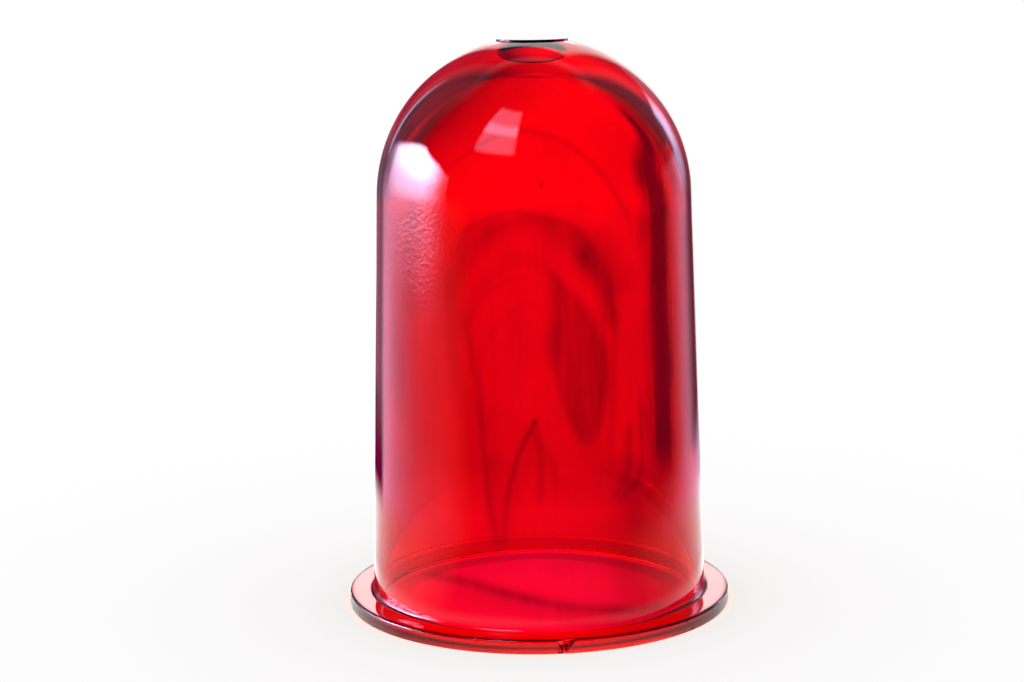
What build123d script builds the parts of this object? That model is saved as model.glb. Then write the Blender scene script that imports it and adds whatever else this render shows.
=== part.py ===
from build123d import *
from math import cos, hypot, radians, sin, sqrt, tan
import os

# Flanged globe of pressed ruby glass, the cover of a signal or bulkhead lamp.
# It is one piece: a round flange at an open mouth, a slightly tapered barrel, a
# hemispherical dome that thickens towards the crown, and a small raised pad on
# the crown that the mould's bottom valve leaves.
# Millimetres. The origin is the centre of the flange's bottom face, +Z up.

# --- Driving dimensions -------------------------------------------------------
overall_height = 165.0        # from the flange's bottom face to the top of the crown pad

flange_diameter = 112.5
flange_thickness = 4.0
flange_top_round = 0.7        # fire-polished upper edge of the rim
flange_bottom_round = 0.4     # lower edge of the rim, nearly sharp

barrel_diameter = 98.6        # outside of the barrel, produced down to the mouth plane
draft_angle = 1.8             # taper of each side, so that the glass leaves the mould
root_fillet = 1.2             # between the flange and the barrel

barrel_wall = 2.1             # square to the surface, the same all the way up the barrel
crown_wall = 7.0              # on the axis, from the top of the pad to the inside
mouth_round = 0.9             # fire-polished inner edge of the mouth

pad_diameter = 20.6
pad_rise = 0.5                # the pad's side above the dome
pad_round = 0.15

# --- Worked out from them -----------------------------------------------------
draft = radians(draft_angle)
flange_radius = flange_diameter / 2
barrel_radius = barrel_diameter / 2
pad_radius = pad_diameter / 2
pad_foot_height = overall_height - pad_rise


def barrel_radius_at(height, inset=0.0):
    """Radius of the drafted barrel at a height, moved in square to its surface."""
    return barrel_radius - height * tan(draft) - inset / cos(draft)


def tangent_sphere(rim_radius, rim_height, inset):
    """Centre height and radius of the sphere that is tangent to the barrel, moved
    in by inset, and passes through a circle of rim_radius at rim_height."""
    # The sphere's radius is (reach - lean * centre); it must equal the distance
    # from the centre to the circle, which gives a quadratic in the centre.
    reach = barrel_radius * cos(draft) - inset
    lean = sin(draft)
    a = 1 - lean**2
    b = -2 * (rim_height - reach * lean)
    c = rim_height**2 + rim_radius**2 - reach**2
    centre = (-b - sqrt(b**2 - 4 * a * c)) / (2 * a)
    return centre, reach - lean * centre


dome_centre, dome_radius = tangent_sphere(pad_radius, pad_foot_height, 0.0)
hollow_top = overall_height - crown_wall
hollow_centre, hollow_radius = tangent_sphere(0.0, hollow_top, barrel_wall)


def spring_point(centre, radius):
    """Where a dome's sphere meets the drafted barrel."""
    return radius * cos(draft), centre + radius * sin(draft)


def arc_middle(centre, radius, start, end):
    """Point of the sphere's section halfway in direction between two of its points."""
    x = (start[0] + end[0]) / 2
    y = (start[1] + end[1]) / 2 - centre
    reach = radius / hypot(x, y)
    return x * reach, centre + y * reach


def outside():
    """Solid of revolution of the outer surface, flange, barrel, dome and pad."""
    spring = spring_point(dome_centre, dome_radius)
    pad_foot = (pad_radius, pad_foot_height)
    dome_middle = arc_middle(dome_centre, dome_radius, spring, pad_foot)
    root = (barrel_radius_at(flange_thickness), flange_thickness)
    with BuildPart() as body:
        with BuildSketch(Plane.XZ):
            with BuildLine():
                Polyline((0, 0), (flange_radius, 0), (flange_radius, flange_thickness), root)
                Line(root, spring)
                ThreePointArc(spring, dome_middle, pad_foot)
                Polyline(pad_foot, (pad_radius, overall_height), (0, overall_height), (0, 0))
            make_face()
        revolve(axis=Axis.Z)
        fillet(circle_at(body, root[0], flange_thickness), root_fillet)
        fillet(circle_at(body, flange_radius, flange_thickness), flange_top_round)
        fillet(circle_at(body, flange_radius, 0), flange_bottom_round)
        fillet(circle_at(body, pad_radius, overall_height), pad_round)
    return body.part


def hollow():
    """Solid of revolution of the space inside, which the plunger forms."""
    mouth = (barrel_radius_at(0, barrel_wall), 0)
    spring = spring_point(hollow_centre, hollow_radius)
    top = (0, hollow_top)
    dome_middle = arc_middle(hollow_centre, hollow_radius, spring, top)
    with BuildPart() as space:
        with BuildSketch(Plane.XZ):
            with BuildLine():
                Polyline((0, 0), mouth, spring)
                ThreePointArc(spring, dome_middle, top)
                Line(top, (0, 0))
            make_face()
        revolve(axis=Axis.Z)
    return space.part


def circle_at(body, radius, height, tolerance=0.01):
    """The circular edge of a body that lies at a radius and a height."""
    rings = body.edges().filter_by(GeomType.CIRCLE)
    return [
        ring
        for ring in rings
        if abs(ring.radius - radius) < tolerance and abs(ring.arc_center.Z - height) < tolerance
    ]


def globe():
    """The finished piece: the outside less the hollow, with a rounded mouth."""
    with BuildPart() as glass:
        add(outside())
        add(hollow(), mode=Mode.SUBTRACT)
        fillet(circle_at(glass, barrel_radius_at(0, barrel_wall), 0), mouth_round)
    return glass.part


os.makedirs("parts", exist_ok=True)
export_step(globe(), "parts/flanged_globe.step")
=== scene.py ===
from math import acos, cos, hypot, pi, radians, sin, sqrt, tan

import bmesh
import bpy
import numpy as np
from mathutils import Matrix, Vector, noise


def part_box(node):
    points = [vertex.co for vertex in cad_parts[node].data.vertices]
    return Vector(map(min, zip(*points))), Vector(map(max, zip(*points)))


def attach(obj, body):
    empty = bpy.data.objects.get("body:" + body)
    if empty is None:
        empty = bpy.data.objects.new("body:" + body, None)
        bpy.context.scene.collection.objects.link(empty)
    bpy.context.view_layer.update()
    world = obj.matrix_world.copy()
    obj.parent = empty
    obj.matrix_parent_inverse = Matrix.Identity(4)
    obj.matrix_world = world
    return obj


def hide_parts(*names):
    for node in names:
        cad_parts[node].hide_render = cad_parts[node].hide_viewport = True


# Flanged globe of pressed ruby glass. Metres, +Z up, the flange's bottom face at z = 0.

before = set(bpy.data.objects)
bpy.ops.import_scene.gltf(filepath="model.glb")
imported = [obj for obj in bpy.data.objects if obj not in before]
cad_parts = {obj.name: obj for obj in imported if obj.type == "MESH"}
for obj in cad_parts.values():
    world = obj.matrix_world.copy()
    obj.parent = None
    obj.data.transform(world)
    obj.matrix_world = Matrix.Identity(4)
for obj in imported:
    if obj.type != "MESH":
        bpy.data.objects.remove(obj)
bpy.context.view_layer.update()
_, node_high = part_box("flanged_globe")

MM = 0.001

# --- The glass, the same form as the CAD node ----------------------------------
overall_height = node_high.z
flange_radius = node_high.x
flange_thickness = 4.0 * MM
flange_top_round = 0.7 * MM
flange_bottom_round = 0.4 * MM
barrel_radius = 49.3 * MM        # outside, produced down to the mouth plane
draft = radians(1.8)
root_fillet = 1.2 * MM
barrel_wall = 2.1 * MM
crown_wall = 7.0 * MM
mouth_round = 0.9 * MM
pad_radius = 10.3 * MM
pad_rise = 0.5 * MM
pad_round = 0.15 * MM

# --- Mesh fineness ---------------------------------------------------------------
segments = 384
outside_step = 1.6 * MM
hollow_step = 0.8 * MM
outside_dome_steps = 56
hollow_dome_steps = 84
flange_bottom_steps = 4
flange_top_steps = 6
root_steps = 8
pad_steps = 5
mouth_steps = 6
chip_column = 0.16 * MM          # columns and rows where the rim is chipped
chip_row = 0.25 * MM
chip_reach = 3.2 * MM            # past this from its angle a chip does nothing
chip_margin = 0.2                # millimetres of fine columns past a chip's corners
column_gap = 0.001               # radians kept free of plain columns beside fine ones
sharp_angle = radians(32)

# --- Waves that pressing and cooling leave in the glass -------------------------------
wave_start = 6.0 * MM            # over which they ease in
long_wave = 26.0 * MM
long_wave_height = 0.06 * MM
short_wave = 7.0 * MM
short_wave_height = 0.012 * MM
outside_wave_seed = 3.0
hollow_wave_seed = 9.0
short_wave_seed = 5.0
seed_steps = (7.3, -2.1)         # how far a seed moves the noise along Y and Z


def barrel_radius_at(height, inset=0.0):
    """Radius of the drafted barrel at a height, moved in square to its surface."""
    return barrel_radius - height * tan(draft) - inset / cos(draft)


def tangent_sphere(rim_radius, rim_height, inset):
    """Centre height and radius of the sphere that is tangent to the barrel, moved in
    by inset, and passes through a circle of rim_radius at rim_height."""
    reach = barrel_radius * cos(draft) - inset
    lean = sin(draft)
    a = 1 - lean**2
    b = -2 * (rim_height - reach * lean)
    c = rim_height**2 + rim_radius**2 - reach**2
    centre = (-b - sqrt(b**2 - 4 * a * c)) / (2 * a)
    return centre, reach - lean * centre


pad_foot_height = overall_height - pad_rise
hollow_top = overall_height - crown_wall
dome_centre, dome_radius = tangent_sphere(pad_radius, pad_foot_height, 0.0)
hollow_centre, hollow_radius = tangent_sphere(0.0, hollow_top, barrel_wall)


def arc(x, z, radius, start, end, steps):
    """Points of a circle about (x, z), from one angle to another, both included."""
    turn = (end - start) / steps
    angles = [start + i * turn for i in range(steps + 1)]
    return [(x + radius * cos(angle), z + radius * sin(angle)) for angle in angles]


def run(start, end, step):
    """Points along a straight line, the ends left out."""
    count = max(1, round(hypot(end[0] - start[0], end[1] - start[1]) / step))
    return [
        (start[0] + (end[0] - start[0]) * i / count, start[1] + (end[1] - start[1]) * i / count)
        for i in range(1, count)
    ]


def outside_profile():
    """From the mouth's outer corner under the flange, up the outside, to the axis."""
    lower_x, lower_z = flange_radius - flange_bottom_round, flange_bottom_round
    lower = arc(lower_x, lower_z, flange_bottom_round, -pi / 2, 0, flange_bottom_steps)
    upper_x, upper_z = flange_radius - flange_top_round, flange_thickness - flange_top_round
    upper = arc(upper_x, upper_z, flange_top_round, 0, pi / 2, flange_top_steps)
    # The fillet touches the flange's top and the drafted barrel.
    fillet_z = flange_thickness + root_fillet
    fillet_x = barrel_radius_at(fillet_z, -root_fillet)
    root = arc(fillet_x, fillet_z, root_fillet, -pi / 2, -pi + draft, root_steps)
    tip = acos(pad_radius / dome_radius)
    dome = arc(0, dome_centre, dome_radius, draft, tip, outside_dome_steps)
    pad_z = overall_height - pad_round
    pad = arc(pad_radius - pad_round, pad_z, pad_round, 0, pi / 2, pad_steps)
    top = run(pad[-1], (0, overall_height), outside_step)
    points = lower + run(lower[-1], upper[0], chip_row) + upper
    points += run(upper[-1], root[0], outside_step) + root
    points += run(root[-1], dome[0], outside_step) + dome + pad + top
    return points + [(0, overall_height)]


def hollow_profile():
    """From the axis inside the crown, down the hollow, to the mouth's round edge."""
    dome = arc(0, hollow_centre, hollow_radius, pi / 2, draft, hollow_dome_steps)
    dome[0] = (0, hollow_top)
    # The mouth's round touches the drafted hollow and the bottom face.
    round_x = barrel_radius_at(mouth_round, barrel_wall) + mouth_round / cos(draft)
    mouth = arc(round_x, mouth_round, mouth_round, pi + draft, 3 * pi / 2, mouth_steps)
    return dome + run(dome[-1], mouth[0], hollow_step) + mouth


# Chips in the flange's rim: an angle in degrees from +X, a triangle on the side wall, in
# millimetres sideways from the angle and up from the bottom face, its deepest point, and
# how deep that is.
CHIPS = [
    (-82.1, ((-2.4, 4.4), (2.7, 4.4), (-0.7, 0.3)), (0.6, 3.2), 1.3),
    (-83.6, ((-1.6, 4.3), (0.5, 4.2), (0.0, -0.4)), (-0.2, 1.9), 0.8),
    (-84.3, ((-1.2, 1.3), (1.0, 1.0), (0.2, -0.5)), (0.1, 0.4), 0.5),
    (-127.4, ((-0.9, 4.3), (1.0, 4.3), (0.1, 3.2)), (0.1, 3.9), 0.35),
    (-108.0, ((-1.3, 4.3), (1.4, 4.3), (-0.2, 3.1)), (0.2, 3.9), 0.4),
    (-42.8, ((-1.6, 4.3), (1.2, 4.3), (0.4, 2.9)), (-0.1, 3.8), 0.45),
    (-40.0, ((-0.8, 0.9), (0.9, 0.8), (0.0, -0.4)), (0.0, 0.2), 0.4),
    (-171.0, ((-1.4, 4.3), (1.5, 4.3), (0.3, 2.7)), (0.0, 3.8), 0.5),
    (-165.0, ((-1.0, 1.0), (1.0, 0.9), (-0.2, -0.4)), (0.0, 0.3), 0.4),
    (64.0, ((-1.2, 4.3), (1.3, 4.3), (0.3, 3.0)), (0.1, 3.9), 0.4),
    (147.0, ((-0.9, 0.9), (1.0, 0.9), (0.1, -0.4)), (0.0, 0.3), 0.35),
]


def column_angles():
    """Angles of the mesh's columns, closer together where the rim is chipped."""
    angles = [2 * pi * j / segments - pi for j in range(segments)]
    for middle, corners, _, _ in CHIPS:
        middle = radians(middle)
        low = middle + (min(u for u, _ in corners) - chip_margin) * MM / flange_radius
        high = middle + (max(u for u, _ in corners) + chip_margin) * MM / flange_radius
        angles = [a for a in angles if not low - column_gap < a < high + column_gap]
        count = round((high - low) * flange_radius / chip_column)
        angles += [low + (high - low) * i / count for i in range(count + 1)]
    return sorted(angles)


def chip_depth(angle, z):
    """How deep the rim's side wall is bitten at an angle and a height."""
    deepest = 0.0
    for middle, corners, (deep_u, deep_z), depth in CHIPS:
        u = ((angle - radians(middle) + pi) % (2 * pi) - pi) * flange_radius / MM
        if abs(u) > chip_reach / MM:
            continue
        share = 1.0
        for (u0, z0), (u1, z1) in zip(corners, corners[1:] + corners[:1]):
            side = (u1 - u0) * (z / MM - z0) - (z1 - z0) * (u - u0)
            side_deep = (u1 - u0) * (deep_z - z0) - (z1 - z0) * (deep_u - u0)
            share = min(share, side / side_deep)
        deepest = max(deepest, share * depth * MM)
    return deepest


def swell(x, y, z, size, seed):
    """A smooth random rise and fall between about -1 and 1, the same each run. The seed
    picks the part of the noise."""
    shift = Vector((seed, seed_steps[0] * seed, seed_steps[1] * seed))
    return noise.noise(Vector((x, y, z)) / size + shift)


def formed(r, z, angle, outside):
    """A point of the profile at an angle, with the small waves and chips of real glass."""
    x, y = r * cos(angle), r * sin(angle)
    if z <= flange_thickness:
        if outside:
            r = min(r, flange_radius - chip_depth(angle, z))
    else:
        # The waves ease in above the flange and out below the pad.
        over_flange = (z - flange_thickness) / wave_start
        under_pad = (pad_foot_height - z) / wave_start
        ease = max(0.0, min(1.0, over_flange, under_pad))
        seed = outside_wave_seed if outside else hollow_wave_seed
        wave = swell(x, y, z, long_wave, seed) * long_wave_height
        wave += swell(x, y, z, short_wave, short_wave_seed) * short_wave_height
        r -= ease * wave
    return (r * cos(angle), r * sin(angle), z)


def globe_mesh():
    """The closed glass: the profile's points turned round the axis, row by row."""
    outer = outside_profile()
    inner = hollow_profile()
    bottom = run(inner[-1], outer[0], outside_step)
    profile = outer + inner + bottom
    axis_rows = {len(outer) - 1, len(outer)}
    angles = column_angles()
    columns = len(angles)
    bm = bmesh.new()
    rows = []
    for i, (r, z) in enumerate(profile):
        if i in axis_rows:
            rows.append([bm.verts.new((0, 0, z))] * columns)
            continue
        outside = i < len(outer)
        rows.append([bm.verts.new(formed(r, z, angle, outside)) for angle in angles])
    for i, row in enumerate(rows):
        if i == len(outer) - 1:
            # Between the two axis points lies the crown, so no face is made there.
            continue
        above = rows[(i + 1) % len(rows)]
        for j in range(columns):
            k = (j + 1) % columns
            corners = [row[j], row[k], above[k], above[j]]
            corners = [v for n, v in enumerate(corners) if v not in corners[:n]]
            bm.faces.new(corners)
    bmesh.ops.recalc_face_normals(bm, faces=bm.faces)
    mesh = bpy.data.meshes.new("ruby_globe")
    bm.to_mesh(mesh)
    bm.free()
    for face in mesh.polygons:
        face.use_smooth = True
    mesh.set_sharp_from_angle(angle=sharp_angle)
    return mesh


# --- Flow lines -------------------------------------------------------------------------
# Darker ruby that the flow of the glass has drawn out, in the wall round the hollow.
# Each is a smooth line through (angle in degrees from +X, height in millimetres), with
# its width in millimetres and the share of light that it takes. It thins at its ends.
FLOW_LINES = [
    # Two arches, one above the other, and the lower one's shade.
    ([(130, 130), (117, 138), (97, 142), (77, 139), (60, 129), (50, 115), (46, 103)], 2.4, 0.22),
    ([(128, 92), (121, 103), (113, 109), (100, 114), (88, 112), (75, 106), (64, 97), (56, 86)], 3.4, 0.2),
    ([(128, 84), (120, 96), (110, 104), (98, 109), (86, 108), (74, 101), (64, 92), (57, 82)], 9.0, 0.3),
    ([(122, 70), (119, 78), (113, 87), (102, 94), (92, 95), (82, 90)], 6.0, 0.1),
    ([(120, 74), (113, 83), (100, 89), (90, 90)], 2.0, 0.08),
    ([(112, 66), (104, 76), (94, 81), (86, 79)], 2.4, 0.07),
    ([(72, 99), (64, 92), (60, 84), (57, 74)], 8.0, 0.4),
    ([(67, 104), (57, 96), (52, 84)], 12.0, 0.26),
    # Threads that run down to the mouth on the left, and their shade.
    ([(129, 96), (126, 84), (125, 71), (120, 52), (118, 36), (114, 19)], 7.0, 0.14),
    ([(119, 78), (116, 64), (113, 45), (111, 25), (107, 2)], 3.4, 0.26),
    ([(114, 50), (112, 36), (109, 20), (106, 4)], 1.3, 0.2),
    ([(91, 44), (91, 43), (95, 37), (99, 30), (102, 18), (104, 1)], 2.1, 0.36),
    ([(91, 44), (93, 36), (97, 26), (100, 12)], 5.0, 0.1),
    ([(91, 42), (89, 31), (88, 16)], 3.0, 0.25),
    ([(90, 38), (84, 28), (81, 20)], 3.5, 0.12),
    ([(107, 34), (106, 18), (105, 2)], 9.0, 0.2),
    # Threads and hooks on the right.
    ([(58, 90), (57, 80), (57, 67), (58, 52), (59, 42), (60, 25)], 2.6, 0.16),
    ([(43, 56), (43, 48), (44, 41), (45, 30), (51, 23), (57, 17)], 2.6, 0.36),
    ([(50, 46), (51, 39), (52, 30), (55, 23), (60, 18)], 3.2, 0.3),
    ([(53, 36), (50, 22), (48, 6)], 12.0, 0.16),
    ([(77, 60), (73, 44), (68, 30)], 10.0, 0.1),
    ([(84, 92), (83, 80), (85, 68), (82, 56), (76, 44), (70, 35)], 3.0, 0.14),
    # Two specks of dirt.
    ([(91.6, 43.4), (90.4, 43.0)], 1.3, 0.7),
    ([(87.8, 124.2), (86.4, 124.0)], 1.5, 0.75),
    # The near side: a soft shade on the left, and one long thread low down.
    ([(-138, 128), (-141, 112), (-143, 95), (-146, 78), (-146, 60)], 7.0, 0.22),
    ([(-133, 17), (-117, 17), (-103, 15), (-83, 11), (-69, 9), (-54, 7), (-33, 6)], 3.4, 0.45),
    ([(-126, 13), (-104, 12), (-84, 8), (-66, 5), (-44, 4)], 5.0, 0.12),
]
# Soft-edged patches of darker glass: an outline, how wide its edge is, and its share.
FLOW_PATCHES = [
    # A leaf right of the middle.
    ([(83, 91), (82, 80), (84, 66), (79, 50), (69, 36), (60, 54), (61, 70), (71, 82)], 4.5, 0.38),
    ([(82, 90), (81, 79), (82, 68), (77, 58), (68, 64), (68, 78)], 5.0, 0.12),
    # A veil inside the lower arch.
    ([(122, 92), (105, 104), (80, 104), (62, 90), (56, 40), (66, 20), (112, 24), (122, 60)], 12.0, 0.07),
    # A shade low on the right of the near side.
    ([(-66, 30), (-58, 44), (-40, 44), (-36, 8), (-60, 10)], 9.0, 0.12),
]


tiny = 1e-9                      # keeps a division by nothing away
far_away = 1e9


def smooth_line(points, between=8):
    """Points of a Catmull-Rom curve through the given ones."""
    ends = [points[0]] + list(points) + [points[-1]]
    made = []
    for a, b, c, d in zip(ends, ends[1:], ends[2:], ends[3:]):
        for i in range(between):
            t = i / between
            # Twice the weights of the four points.
            weights = (
                -t + 2 * t**2 - t**3,
                2 - 5 * t**2 + 3 * t**3,
                t + 4 * t**2 - 3 * t**3,
                t**3 - t**2,
            )
            made.append([np.dot(weights, values) / 2 for values in zip(a, b, c, d)])
    return np.array(made + [points[-1]])


def wrapped(angle):
    """The same angles in degrees, between -180 and 180."""
    return (angle + 180) % 360 - 180


def to_line(line, angle, height, radius):
    """Millimetres from places of the wall to a line, and how far along it they are."""
    nearest = np.full(len(angle), far_away)
    along = np.zeros(len(angle))
    for i, ((a0, z0), (a1, z1)) in enumerate(zip(line, line[1:])):
        aside = np.radians(wrapped(angle - a0)) * radius / MM
        step = np.radians(a1 - a0) * radius / MM
        rise = z1 - z0
        squared = step**2 + rise**2 + tiny
        share = np.clip((aside * step + (height - z0) * rise) / squared, 0, 1)
        gap = np.hypot(aside - share * step, height - z0 - share * rise)
        along = np.where(gap < nearest, (i + share) / (len(line) - 1), along)
        nearest = np.minimum(nearest, gap)
    return nearest, along


def inside_outline(outline, angle, height):
    """Whether places of the wall are inside a closed outline."""
    inside = np.zeros(len(angle), bool)
    for (a0, z0), (a1, z1) in zip(outline, np.roll(outline, -1, axis=0)):
        crosses = (z0 > height) != (z1 > height)
        limit = a0 + (height - z0) * (a1 - a0) / (z1 - z0 + tiny)
        inside ^= crosses & (angle < limit)
    return inside


# Noises in the wall, by their size in millimetres along X, Y and Z: a slow drift of the
# lines, and fine and broad streaks drawn down the wall.
drift_size = (9, 9, 13)
fine_size = (1.5, 1.5, 26)
broad_size = (6, 6, 50)
drift_angle = 1.1                # degrees
fine_shade = 0.025               # share of light that the streaks take everywhere
broad_shade = 0.035
streak_offset = 0.3
fine_in_lines = 0.15             # how much the streaks break up the lines and patches
broad_in_lines = 0.3
fine_in_patches = 0.3
broad_in_patches = 0.35
end_depth = 0.25                 # share of a line's depth that is left at its ends
end_taper = 5                    # how fast the depth grows from them
even_width = 0.55                # share of its width that doesn't taper
painted_share = 0.3


def wall_noise(places, size):
    """Smooth noise at places in millimetres, the same each run."""
    return np.array([noise.noise(Vector(place)) for place in places / np.array(size)])


def flow_share(places):
    """Share of light that the flow lines leave at places of the hollow's wall."""
    radius = np.hypot(places[:, 0], places[:, 1])
    angle = np.degrees(np.arctan2(places[:, 1], places[:, 0]))
    height = places[:, 2] / MM
    fine = wall_noise(places / MM, fine_size)
    broad = wall_noise(places / MM, broad_size)
    angle = angle + drift_angle * wall_noise(places / MM, drift_size)
    left = 1 - fine_shade * np.clip(fine + streak_offset, 0, 1)
    left -= broad_shade * np.clip(broad + streak_offset, 0, 1)
    for points, width, depth in FLOW_LINES:
        nearest, along = to_line(smooth_line(points), angle, height, radius)
        taper = np.clip(np.minimum(along, 1 - along) * end_taper + end_depth, 0, 1)
        wide = width / 2 * (even_width + (1 - even_width) * taper)
        streaks = 1 + fine_in_lines * fine + broad_in_lines * broad
        left *= 1 - depth * taper * streaks * np.exp(-((nearest / wide) ** 2))
    for points, edge, depth in FLOW_PATCHES:
        outline = smooth_line(points + points[:1])
        gap, _ = to_line(outline, angle, height, radius)
        within = np.where(inside_outline(outline, angle, height), gap, -gap)
        soft = np.clip(0.5 + within / edge, 0, 1)
        streaks = 1 + fine_in_patches * fine + broad_in_patches * broad
        left *= 1 - depth * soft**2 * (3 - 2 * soft) * streaks
    return np.clip(left, 0, 1)


def paint_flow(mesh):
    """Stores the flow lines' share of light on the hollow's side of the glass: on the
    points that lie nearer the hollow than painted_share of the wall."""
    places = np.zeros(len(mesh.vertices) * 3)
    mesh.vertices.foreach_get("co", places)
    places = places.reshape(-1, 3)
    radius = np.hypot(places[:, 0], places[:, 1])
    height = places[:, 2]
    near = painted_share * barrel_wall
    wall = barrel_radius_at(height) - (barrel_wall - near)
    ball = np.hypot(radius, height - hollow_centre)
    inside = np.where(height > hollow_centre, ball < hollow_radius + near, radius < wall)
    share = np.ones(len(places))
    share[inside] = flow_share(places[inside])
    layer = mesh.attributes.new("flow", "FLOAT", "POINT")
    layer.data.foreach_set("value", share.astype(np.float32))


# --- Node helpers ------------------------------------------------------------------
class Nodes:
    """Short names for the node calls that the materials and the world repeat."""

    def __init__(self, owner):
        owner.use_nodes = True
        self.tree = owner.node_tree
        self.tree.nodes.clear()

    def add(self, kind, **settings):
        node = self.tree.nodes.new("ShaderNode" + kind)
        for name, value in settings.items():
            setattr(node, name, value)
        return node

    def put(self, value, socket):
        """Links an output into a socket, or sets the socket to a plain value."""
        if isinstance(value, bpy.types.NodeSocket):
            self.tree.links.new(value, socket)
        else:
            socket.default_value = value

    def math(self, operation, a, b=0.0):
        node = self.add("Math", operation=operation)
        self.put(a, node.inputs[0])
        self.put(b, node.inputs[1])
        return node.outputs[0]

    def plus(self, a, b):
        return self.math("ADD", a, b)

    def less(self, a, b):
        return self.math("SUBTRACT", a, b)

    def times(self, a, b):
        return self.math("MULTIPLY", a, b)

    def most(self, a, b):
        return self.math("MAXIMUM", a, b)

    def without(self, share):
        """What a share leaves of 1."""
        return self.math("SUBTRACT", 1.0, share)

    def rise(self, value, low, high):
        """0 below low, 1 above high, smooth between."""
        node = self.add("MapRange", interpolation_type="SMOOTHSTEP")
        self.put(value, node.inputs["Value"])
        node.inputs["From Min"].default_value = low
        node.inputs["From Max"].default_value = high
        return node.outputs["Result"]

    def band(self, value, start, full, ease, end):
        """1 between full and ease, and smoothly down to 0 at start and end."""
        return self.times(self.rise(value, start, full), self.without(self.rise(value, ease, end)))

    def mix(self, factor, a, b):
        node = self.add("Mix", data_type="FLOAT")
        self.put(factor, node.inputs[0])
        self.put(a, node.inputs[2])
        self.put(b, node.inputs[3])
        return node.outputs[0]

    def shaders(self, factor, a, b):
        """Mixes two shaders."""
        node = self.add("MixShader")
        self.put(factor, node.inputs[0])
        self.put(a.outputs[0], node.inputs[1])
        self.put(b.outputs[0], node.inputs[2])
        return node

    def colour(self, red, green, blue):
        node = self.add("CombineColor")
        self.put(red, node.inputs["Red"])
        self.put(green, node.inputs["Green"])
        self.put(blue, node.inputs["Blue"])
        return node.outputs[0]

    def split(self, vector):
        node = self.add("SeparateXYZ")
        self.put(vector, node.inputs[0])
        return node.outputs

    def length(self, x, y):
        return self.math("SQRT", self.plus(self.math("POWER", x, 2.0), self.math("POWER", y, 2.0)))

    def azimuth(self, x, y):
        """Degrees from +Y, positive towards +X."""
        return self.math("DEGREES", self.math("ARCTAN2", x, y))

    def noise(self, place, scale, detail):
        node = self.add("TexNoise")
        self.put(place, node.inputs["Vector"])
        node.inputs["Scale"].default_value = scale
        node.inputs["Detail"].default_value = detail
        return node.outputs["Fac"]

    def ramp(self, value, stops):
        """The result at a value, straight between (value, result) stops."""
        low, high = stops[0][0], stops[-1][0]
        top = max(result for _, result in stops)
        spread = self.add("MapRange")
        self.put(value, spread.inputs["Value"])
        spread.inputs["From Min"].default_value = low
        spread.inputs["From Max"].default_value = high
        node = self.add("ValToRGB")
        band = node.color_ramp
        places = [((place - low) / (high - low), result / top) for place, result in stops]
        for place, _ in places[1:-1]:
            band.elements.new(place)
        for element, (place, result) in zip(band.elements, places):
            element.position = place
            element.color = (result, result, result, 1)
        self.tree.links.new(spread.outputs["Result"], node.inputs["Fac"])
        return self.times(node.outputs["Color"], top)


# --- Glass ---------------------------------------------------------------------------
# Noise scales are in rises and falls per metre, and ranges are of the noise's value.
glass_ior = 1.5
ruby_colour = (0.990, 0.0, 0.45, 1)
ruby_density = 3000.0            # a metre absorbs this times (1 - colour)
cloud_scale = 45
cloud_detail = 3.0
cloud_range = (0.35, 0.7)
cloud_tint = 0.96                # share of light that the darkest cloud leaves
mark_scale = 160
mark_detail = 5.0
mark_range = (0.5, 0.75)
mark_roughness = 0.035
rim_roughness = 0.3
rim_heights = (0.3 * MM, 0.7 * MM, 3.0 * MM, 3.5 * MM)    # where the side wall is dull
rim_reach = (flange_radius - 0.5 * MM, flange_radius - 0.2 * MM)
streak_scale = 420
streak_stretch = (1.0, 1.0, 0.06)
streak_detail = 2.0
streak_height = 0.25             # against the orange peel's
peel_scale = 850
peel_detail = 2.0
peel_middle = (-0.033, -0.034, 0.112)    # of the patch with the strongest orange peel
peel_range = (0.006, 0.026)      # metres from there over which it weakens
peel_strong = 1.8
peel_weak = 0.1
bump_depth = 0.022 * MM


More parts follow.
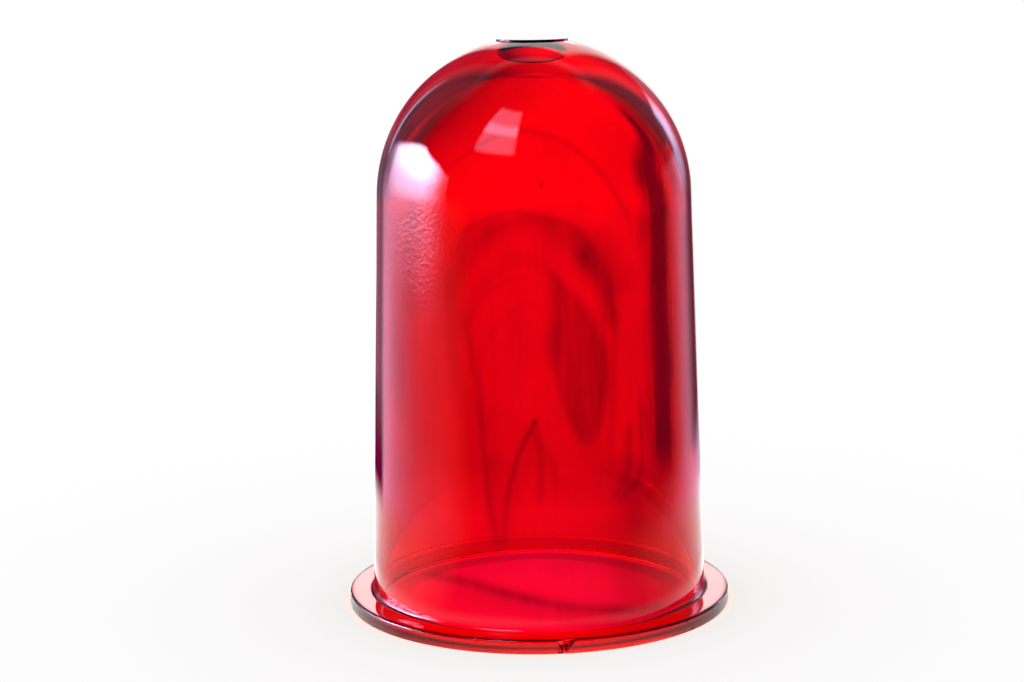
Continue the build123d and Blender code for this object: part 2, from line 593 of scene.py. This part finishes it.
def ruby_glass():
    material = bpy.data.materials.new("ruby_glass")
    n = Nodes(material)
    place = n.add("TexCoord").outputs["Object"]
    shader = n.add("BsdfPrincipled")
    # Colour: the flow lines, and faint clouds in the melt. Light takes the root of it at
    # each surface that it crosses.
    flow = n.add("Attribute", attribute_name="flow")
    clouds = n.rise(n.noise(place, cloud_scale, cloud_detail), *cloud_range)
    clouds = n.mix(clouds, cloud_tint, 1.0)
    tint = n.math("POWER", n.times(flow.outputs["Fac"], clouds), 2.0)
    n.put(n.colour(tint, tint, tint), shader.inputs["Base Color"])
    # Roughness: polished, with faint handling marks, and duller on the rim's side wall.
    marks = n.rise(n.noise(place, mark_scale, mark_detail), *mark_range)
    polished = n.mix(marks, 0.0, mark_roughness)
    across, along, up = n.split(place)
    rim = n.times(n.band(up, *rim_heights), n.rise(n.length(across, along), *rim_reach))
    n.put(n.mix(rim, polished, rim_roughness), shader.inputs["Roughness"])
    # Bump: a fine orange peel, stronger in one patch, and streaks drawn down the wall.
    stretched = n.add("Mapping")
    n.put(place, stretched.inputs["Vector"])
    stretched.inputs["Scale"].default_value = streak_stretch
    drawn = n.noise(stretched.outputs[0], streak_scale, streak_detail)
    from_patch = n.add("VectorMath", operation="DISTANCE")
    n.put(place, from_patch.inputs[0])
    from_patch.inputs[1].default_value = peel_middle
    patch = n.mix(n.rise(from_patch.outputs["Value"], *peel_range), peel_strong, peel_weak)
    peel = n.times(n.noise(place, peel_scale, peel_detail), patch)
    bump = n.add("Bump")
    bump.inputs["Strength"].default_value = 1.0
    bump.inputs["Distance"].default_value = bump_depth
    n.put(n.plus(peel, n.times(drawn, streak_height)), bump.inputs["Height"])
    n.put(bump.outputs[0], shader.inputs["Normal"])
    shader.inputs["IOR"].default_value = glass_ior
    shader.inputs["Transmission Weight"].default_value = 1.0
    absorb = n.add("VolumeAbsorption")
    absorb.inputs["Color"].default_value = ruby_colour
    absorb.inputs["Density"].default_value = ruby_density
    out = n.add("OutputMaterial")
    n.put(shader.outputs[0], out.inputs["Surface"])
    n.put(absorb.outputs[0], out.inputs["Volume"])
    return material


# --- Studio --------------------------------------------------------------------------
# What metal and glass see round the object, where white is 1. Directions are in degrees:
# the azimuth from straight behind the object, negative to the left, and the elevation.
# A pair of directions is a smooth rise from one to the other, and four of them are a
# band that rises between the first two and falls between the last two.

# Brightness against azimuth, from the paper near the object upwards. On the left a large
# soft lamp stands level with the object, on the right a small one, and the rest is dim.
NEAR_TABLE = [
    (-180, 0.01), (-135, 0.01), (-122, 0.25), (-110, 0.5), (-96, 0.65), (-84, 0.8),
    (-70, 1.15), (-50, 1.6), (-30, 1.6), (-17, 1.25), (0, 1.15), (17, 1.25), (28, 1.7),
    (40, 1.7), (48, 1.5), (62, 1.3), (76, 0.9), (90, 0.5), (105, 0.3), (125, 0.05),
    (180, 0.01),
]
BELOW = [
    (-180, 0.01), (-135, 0.01), (-122, 0.15), (-110, 0.3), (-96, 0.4), (-84, 0.6),
    (-70, 1.0), (-50, 1.7), (-42, 1.5), (-34, 0.3), (0, 0.1), (24, 0.05), (30, 0.1),
    (35, 0.3), (40, 0.6), (45, 0.85), (50, 0.9), (56, 0.7), (64, 0.25), (74, 0.01),
    (180, 0.01),
]
LEVEL = [
    (-180, 0.01), (-115, 0.01), (-108, 2.5), (-100, 12), (-92, 19), (-80, 16), (-66, 11),
    (-54, 6.4), (-46, 1.4), (-36, 0.3), (0, 0.15), (30, 0.2), (38, 2.2), (45, 2.6),
    (56, 0.9), (68, 0.35), (76, 0.01), (180, 0.01),
]
ABOVE = [
    (-180, 0.01), (-82, 0.01), (-70, 0.25), (-30, 0.22), (-24, 0.04), (28, 0.04),
    (40, 0.3), (60, 0.2), (72, 0.01), (180, 0.01),
]
# How high the lamps reach, as an elevation against azimuth.
LAMP_TOP = [
    (-180, 15), (-112, 15), (-104, 19), (-93, 21.5), (-84, 24), (-75, 22.7), (-66, 20),
    (-56, 16), (-46, 12.6), (-39, 9), (-34, 6), (0, 6), (20, 22), (180, 22),
]
paper_to_below = (-12.5, -9.5)
below_to_level = (-8, 5)
level_to_above = (-2.5, 1.0)     # past the lamps' top
above_to_ceiling = (54, 60)
# The paper gives way to the backdrop behind the object, and ends lower on the right.
paper_left = (-44, -36)
paper_right = (13, 20)
paper_drop = 1.5
paper_drop_azimuth = (0, 30)
# The lamps are brighter in their upper part, and the right one is narrow there.
lamp_upper = (4, 14)
lamp_gain = (0.8, 1.8)
narrow_azimuth = (42, 48)
narrow_elevation = (5, 10)
narrow_cut = 0.9
# A bright strip stands up at the backdrop's left.
strip_azimuth = (-38, -36.5, -34, -32.5)
strip_elevation = (3, 8, 22, 38)
strip_level = 1.3
# The ceiling is dim over the backdrop, and dark to the sides and right above.
ceiling_sides = (50, 80)
ceiling_top = (58, 67)
ceiling_level = 0.4
ceiling_dark = 0.02

# The white backdrop. In reflections it is even, a little brighter higher up, brightest
# where the flange's top reflects it, and slanting at its upper left.
even_azimuth = (-12.5, -8.5, 12, 20)
even_rise = (-6, 10)
even_gain = 0.4
centre_azimuth = (-7.5, -6, 6, 7.5)
centre_elevation = (13, 15.5, 18.5, 21)
centre_gain = 1.6
slant = 0.5                      # degrees of elevation per degree of azimuth
slant_end = (37, 42)
# Through the glass its brightness goes by elevation, times one by azimuth that changes
# from low down to high up.
BACKDROP = [
    (-90, 1.1), (-13, 1.08), (-8, 1.22), (0, 1.5), (5, 1.65), (14, 2.1), (22, 2.5),
    (32, 2.3), (42, 1.5), (54, 1.0), (57, 0), (90, 0),
]
LOW_BACKDROP = [
    (-180, 0), (-24, 0), (-18, 0.6), (-9, 0.7), (-5, 0.88), (-2, 1.0), (2, 1.0), (6, 0.9),
    (10, 0.72), (14, 0.65), (19, 0), (180, 0),
]
HIGH_BACKDROP = [
    (-180, 0), (-16, 0), (-13, 0.1), (-11, 0.25), (-8, 0.43), (-5, 0.64), (0, 0.9),
    (5, 1.05), (9, 1.05), (12, 0.8), (14, 0.5), (17, 0.16), (20, 0), (180, 0),
]
low_to_high = (3, 14)
# A dark upright stands in front of it, behind the object's right side, and leans right.
upright_azimuth = (4.8, 6.6, 7.7, 9.9)
upright_elevation = (-14.6, -12.4, 15, 20)
upright_lean = 5.0
upright_lean_elevation = (3, 13)
upright_cut = 0.82
# A window is behind the camera, high to its left, with one brighter pane.
window_azimuth = (-166, -161, -131, -127)
window_elevation = (32, 36, 64, 68)
window_level = 2.2
pane_elevation = (45, 49, 52, 57)
pane_gain = 3.6
# The walls to the sides and behind the camera, which only show through the glass.
wall_level = 0.25
wall_gain = 0.65
wall_behind = (95, 125)
wall_start = (12, 20)
# The lamps are a little mauve, and the dark has some blue in it.
lamp_green = 0.8
lamp_blue = 1.25
dark_blue = 0.11

plain_level = 0.75               # the world's light on plain surfaces


def surroundings(n, direction, transmitted):
    """The studio's colour in a direction, as metal and glass see it."""
    x, y, z = n.split(direction)
    azimuth = n.azimuth(x, y)
    elevation = n.math("DEGREES", n.math("ARCSINE", z))
    off_back = n.math("ABSOLUTE", azimuth)
    # The paper, the lamps and the walls, from below upwards.
    aside = n.plus(n.rise(azimuth, *paper_right), n.without(n.rise(azimuth, *paper_left)))
    paper = n.times(n.ramp(azimuth, NEAR_TABLE), aside)
    drop = n.times(n.rise(azimuth, *paper_drop_azimuth), paper_drop)
    light = n.rise(n.plus(elevation, drop), *paper_to_below)
    light = n.mix(light, paper, n.ramp(azimuth, BELOW))
    gain = n.mix(n.rise(elevation, *lamp_upper), *lamp_gain)
    narrow = n.times(n.rise(azimuth, *narrow_azimuth), n.rise(elevation, *narrow_elevation))
    level = n.times(n.ramp(azimuth, LEVEL), gain)
    level = n.times(level, n.without(n.times(narrow, narrow_cut)))
    light = n.mix(n.rise(elevation, *below_to_level), light, level)
    over_lamp = n.less(elevation, n.ramp(azimuth, LAMP_TOP))
    light = n.mix(n.rise(over_lamp, *level_to_above), light, n.ramp(azimuth, ABOVE))
    strip = n.times(n.band(azimuth, *strip_azimuth), n.band(elevation, *strip_elevation))
    light = n.plus(light, n.times(strip, strip_level))
    ceiling = n.mix(n.rise(off_back, *ceiling_sides), ceiling_level, ceiling_dark)
    ceiling = n.mix(n.rise(elevation, *ceiling_top), ceiling, ceiling_dark)
    light = n.mix(n.rise(elevation, *above_to_ceiling), light, ceiling)
    # The backdrop through the glass, and as it is reflected.
    sides = n.rise(elevation, *low_to_high)
    sides = n.mix(sides, n.ramp(azimuth, LOW_BACKDROP), n.ramp(azimuth, HIGH_BACKDROP))
    through = n.times(sides, n.ramp(elevation, BACKDROP))
    upright = n.less(azimuth, n.times(n.rise(elevation, *upright_lean_elevation), upright_lean))
    upright = n.times(n.band(upright, *upright_azimuth), n.band(elevation, *upright_elevation))
    through = n.times(through, n.without(n.times(upright, upright_cut)))
    shine = n.plus(1.0, n.times(n.rise(elevation, *even_rise), even_gain))
    centre = n.times(n.band(azimuth, *centre_azimuth), n.band(elevation, *centre_elevation))
    shine = n.plus(shine, n.times(centre, centre_gain))
    slanted = n.less(elevation, n.times(azimuth, slant))
    shine = n.times(shine, n.without(n.rise(slanted, *slant_end)))
    shine = n.times(n.band(azimuth, *even_azimuth), shine)
    backdrop = n.mix(transmitted, shine, through)
    window = n.times(n.band(azimuth, *window_azimuth), n.band(elevation, *window_elevation))
    pane = n.plus(window_level, n.times(n.band(elevation, *pane_elevation), pane_gain))
    light = n.plus(light, n.times(window, pane))
    # Seen through the glass the lamps aren't brighter than white, nor darker than the walls.
    wall = n.plus(wall_level, n.times(n.rise(off_back, *wall_behind), wall_gain))
    pale = n.most(n.math("MINIMUM", light, 1.0), wall)
    pale = n.times(pale, n.rise(off_back, *wall_start))
    light = n.mix(transmitted, light, pale)
    green = n.times(light, lamp_green)
    blue = n.most(n.times(light, lamp_blue), dark_blue)
    return n.colour(n.most(light, backdrop), n.most(green, backdrop), n.most(blue, backdrop))


def ray_kinds(n):
    """Whether a ray is the camera's, one by which metal or glass sees, or transmitted."""
    rays = n.add("LightPath").outputs
    shiny = n.most(rays["Is Glossy Ray"], rays["Is Transmission Ray"])
    return rays["Is Camera Ray"], shiny, rays["Is Transmission Ray"]


def make_world():
    """White to the camera, an even soft light to plain surfaces, the studio to the glass."""
    world = bpy.data.worlds.new("studio")
    bpy.context.scene.world = world
    n = Nodes(world)
    camera_ray, shiny, transmitted = ray_kinds(n)
    seen = surroundings(n, n.add("TexCoord").outputs["Generated"], transmitted)
    colour = n.add("Mix", data_type="RGBA")
    n.put(shiny, colour.inputs[0])
    n.put(n.mix(camera_ray, plain_level, 1.0), colour.inputs[6])
    n.put(seen, colour.inputs[7])
    background = n.add("Background")
    n.put(colour.outputs[2], background.inputs["Color"])
    out = n.add("OutputWorld")
    n.put(background.outputs[0], out.inputs["Surface"])


# --- Floor -----------------------------------------------------------------------------
# Metres: a reach is from the axis, right and left places are along X, and back and
# shadow places along Y. Levels are brightness as metal and glass see it, white at 1.
floor_half_size = 6.0
floor_drop = 0.02 * MM           # so that no face of it lies in the glass's bottom face
floor_grey = 0.62
floor_lift = 0.54                # added for the camera, so that the paper is near white
# Painted light: a little warm light that the rim throws on the paper at its foot, added to the paper's
# colour for the camera.
painted_foot_reach = (0.0560, 0.0563, 0.0566, 0.0585)
painted_foot_light = (0.4, 0.05, -0.2)  # added to red, green and blue
# Metal and glass see the paper near the object; beyond it they see the world.
paper_reach = (0.14, 0.20)
# Reflected, it has painted light: it is brightest close round the glass, which throws light on it.
painted_glow_reach = (0.062, 0.085)
painted_glow_level = 1.0
# Seen through the glass it has painted shade: it darkens to the object's right, and past its left.
right_places = (-0.005, 0.05)
right_levels = (1.2, 0.76)
left_places = (-0.07, -0.035)
left_level = 0.7
# Inside the mouth it darkens to the back, with a painted shadow that the flange throws
# inward, and outside the flange it is a little darker all round.
back_places = (0.01, 0.04)
back_level = 0.88
painted_shadow_reach = (0.0375, 0.0415, 0.046, 0.0475)
painted_shadow_places = (0.0, 0.025)
painted_shadow_level = 0.7
outside_reach = (0.056, 0.065)
outside_level = 0.91


def floor_material():
    material = bpy.data.materials.new("studio_floor")
    n = Nodes(material)
    x, y, _ = n.split(n.add("NewGeometry").outputs["Position"])
    reach = n.length(x, y)
    camera_ray, shiny, transmitted = ray_kinds(n)
    # The pale paper that the camera sees, which keeps the object's shadow.
    diffuse = n.add("BsdfDiffuse")
    diffuse.inputs["Color"].default_value = (floor_grey, floor_grey, floor_grey, 1)
    # Painted light: the rim's warm light on the paper at its foot, for the camera.
    foot = n.band(reach, *painted_foot_reach)
    red, green, blue = [n.plus(1.0, n.times(foot, warmth)) for warmth in painted_foot_light]
    lift = n.add("Emission")
    n.put(n.colour(red, green, blue), lift.inputs["Color"])
    n.put(n.times(camera_ray, floor_lift), lift.inputs["Strength"])
    pale = n.add("AddShader")
    n.put(diffuse.outputs[0], pale.inputs[0])
    n.put(lift.outputs[0], pale.inputs[1])
    # The paper that the glass sees, with painted light round the glass and painted shade seen through it.
    painted_glow_ring = n.times(n.without(n.rise(reach, *painted_glow_reach)), painted_glow_level)
    reflected = n.plus(n.ramp(n.azimuth(x, y), NEAR_TABLE), painted_glow_ring)
    through = n.mix(n.rise(x, *right_places), *right_levels)
    through = n.times(through, n.mix(n.rise(x, *left_places), left_level, 1.0))
    inside = n.mix(n.rise(y, *back_places), 1.0, back_level)
    # Painted shadow of the flange, inside the mouth towards the back.
    shadow = n.times(n.band(reach, *painted_shadow_reach), n.rise(y, *painted_shadow_places))
    inside = n.times(inside, n.mix(shadow, 1.0, painted_shadow_level))
    through = n.times(through, n.mix(n.rise(reach, *outside_reach), inside, outside_level))
    table = n.add("Emission")
    table.inputs["Color"].default_value = (1, 1, 1, 1)
    n.put(n.mix(transmitted, reflected, through), table.inputs["Strength"])
    seen = n.shaders(n.rise(reach, *paper_reach), table, n.add("BsdfTransparent"))
    out = n.add("OutputMaterial")
    n.put(n.shaders(shiny, pale, seen).outputs[0], out.inputs["Surface"])
    return material


def make_floor():
    half = floor_half_size
    corners = [(-half, -half, 0), (half, -half, 0), (half, half, 0), (-half, half, 0)]
    mesh = bpy.data.meshes.new("studio_floor")
    mesh.from_pydata(corners, [], [(0, 1, 2, 3)])
    floor = bpy.data.objects.new("studio_floor", mesh)
    bpy.context.scene.collection.objects.link(floor)
    floor.location.z = -floor_drop
    mesh.materials.append(floor_material())


# --- Camera ---------------------------------------------------------------------------
camera_distance = 626.3 * MM
camera_height = 188.1 * MM
camera_sensor = 36               # millimetres wide
camera_lens = 76.36              # millimetres
camera_pitch = 0.1751            # radians down
camera_yaw = -0.0112             # radians to the right
camera_roll = -0.0147            # radians anticlockwise
camera_clip_start = 0.01


def make_camera():
    """The photograph's camera, in front of the object and a little above it."""
    data = bpy.data.cameras.new("camera")
    camera = bpy.data.objects.new("camera", data)
    bpy.context.scene.collection.objects.link(camera)
    ahead = Vector(
        (
            sin(camera_yaw) * cos(camera_pitch),
            cos(camera_yaw) * cos(camera_pitch),
            -sin(camera_pitch),
        )
    )
    level = ahead.cross(Vector((0, 0, 1))).normalized()
    upright = level.cross(ahead)
    right = cos(camera_roll) * level + sin(camera_roll) * upright
    up = cos(camera_roll) * upright - sin(camera_roll) * level
    turn = Matrix((right, up, -ahead)).transposed().to_4x4()
    camera.matrix_world = Matrix.Translation((0, -camera_distance, camera_height)) @ turn
    data.sensor_width = camera_sensor
    data.lens = camera_lens
    data.clip_start = camera_clip_start
    bpy.context.scene.camera = camera


make_camera()
mesh = globe_mesh()
paint_flow(mesh)
globe = bpy.data.objects.new("ruby_globe", mesh)
bpy.context.scene.collection.objects.link(globe)
mesh.materials.append(ruby_glass())
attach(globe, "root")
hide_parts("flanged_globe")
make_world()
make_floor()
bpy.context.scene.view_settings.view_transform = "Standard"
